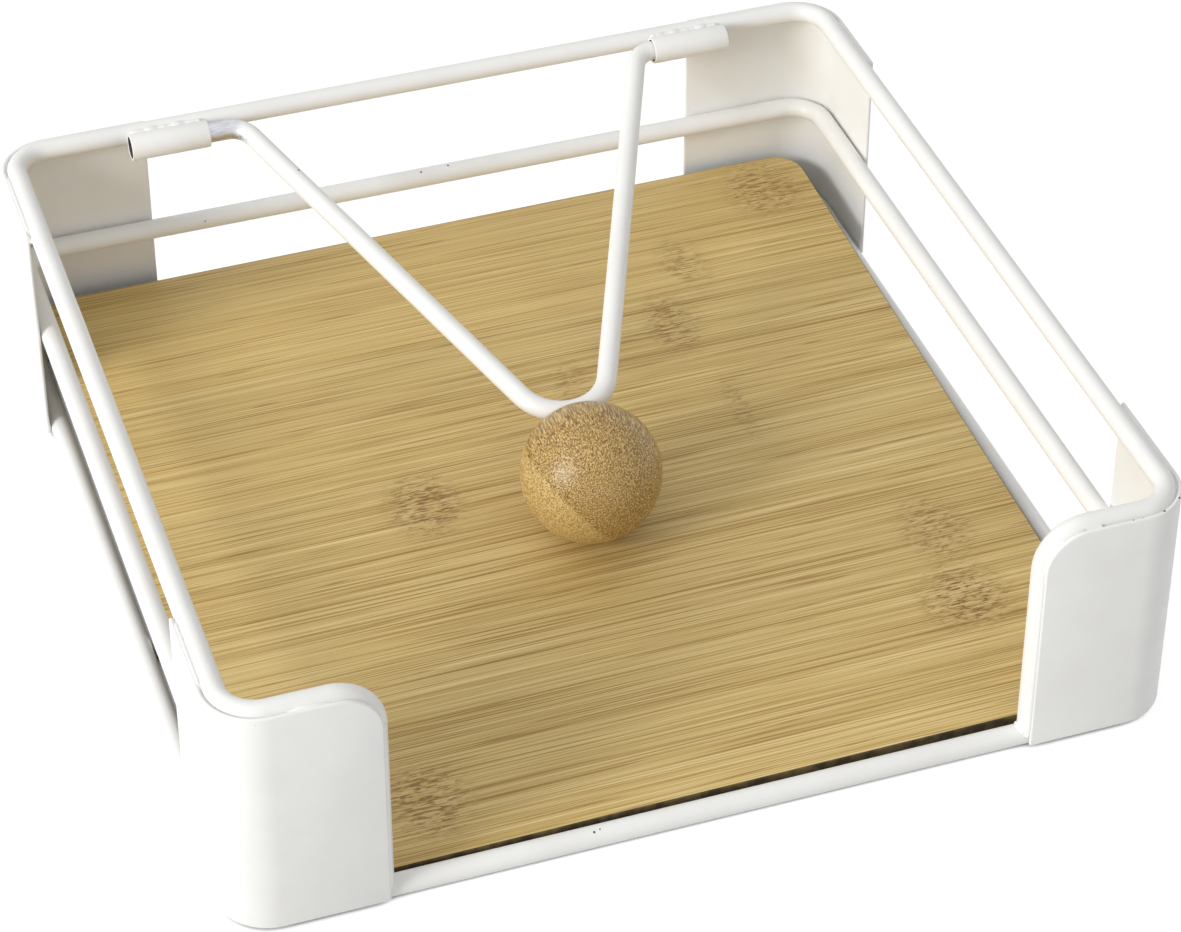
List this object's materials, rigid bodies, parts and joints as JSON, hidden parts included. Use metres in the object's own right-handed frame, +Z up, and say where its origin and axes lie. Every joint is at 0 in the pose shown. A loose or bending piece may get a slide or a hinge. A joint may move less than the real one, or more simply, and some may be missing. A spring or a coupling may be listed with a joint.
{
  "type": "napkin holder",
  "caption": "Square wire napkin holder with bent sheet corners, a loose wooden base board and a hinged V-shaped wire arm with a wooden ball that holds the napkins down.",
  "frame": {"origin": "the middle of the footprint on the table", "axes": "+Z up, -Y towards the open front, +X to the right as seen from the front"},
  "size_m": [0.1842, 0.1842, 0.0536],
  "materials": {
    "white_powder_coat": "satin white powder coat",
    "board_bamboo": "pressed bamboo, clear matt lacquer",
    "ball_bamboo": "turned bamboo, satin lacquer",
    "bare_steel": "bare drawn steel"
  },
  "bodies": {
    "frame": {"top_rail": "white_powder_coat", "middle_rail": "white_powder_coat", "bottom_rail": "white_powder_coat", "corner_plate_front_left": "white_powder_coat", "corner_plate_front_right": "white_powder_coat", "corner_plate_back_left": "white_powder_coat", "corner_plate_back_right": "white_powder_coat", "hinge_tube_left": "white_powder_coat", "hinge_tube_right": "white_powder_coat", "hinge_weld_left": "white_powder_coat", "hinge_weld_right": "white_powder_coat", "foot_weld_left": "white_powder_coat", "foot_weld_right": "white_powder_coat", "front_carrier": "white_powder_coat", "rear_carrier": "white_powder_coat", "base_board": "board_bamboo"},
    "arm": {"arm_wire": "white_powder_coat", "ball": "ball_bamboo", "ball_stud": "bare_steel"}
  },
  "joints": [
    {"name": "arm_hinge", "type": "hinge", "parent": "frame", "child": "arm", "pos_m": [0.0025, 0.08395, 0.0507], "axis": [-1, 0, 0], "range_deg": [0, 132.5]}
  ]
}
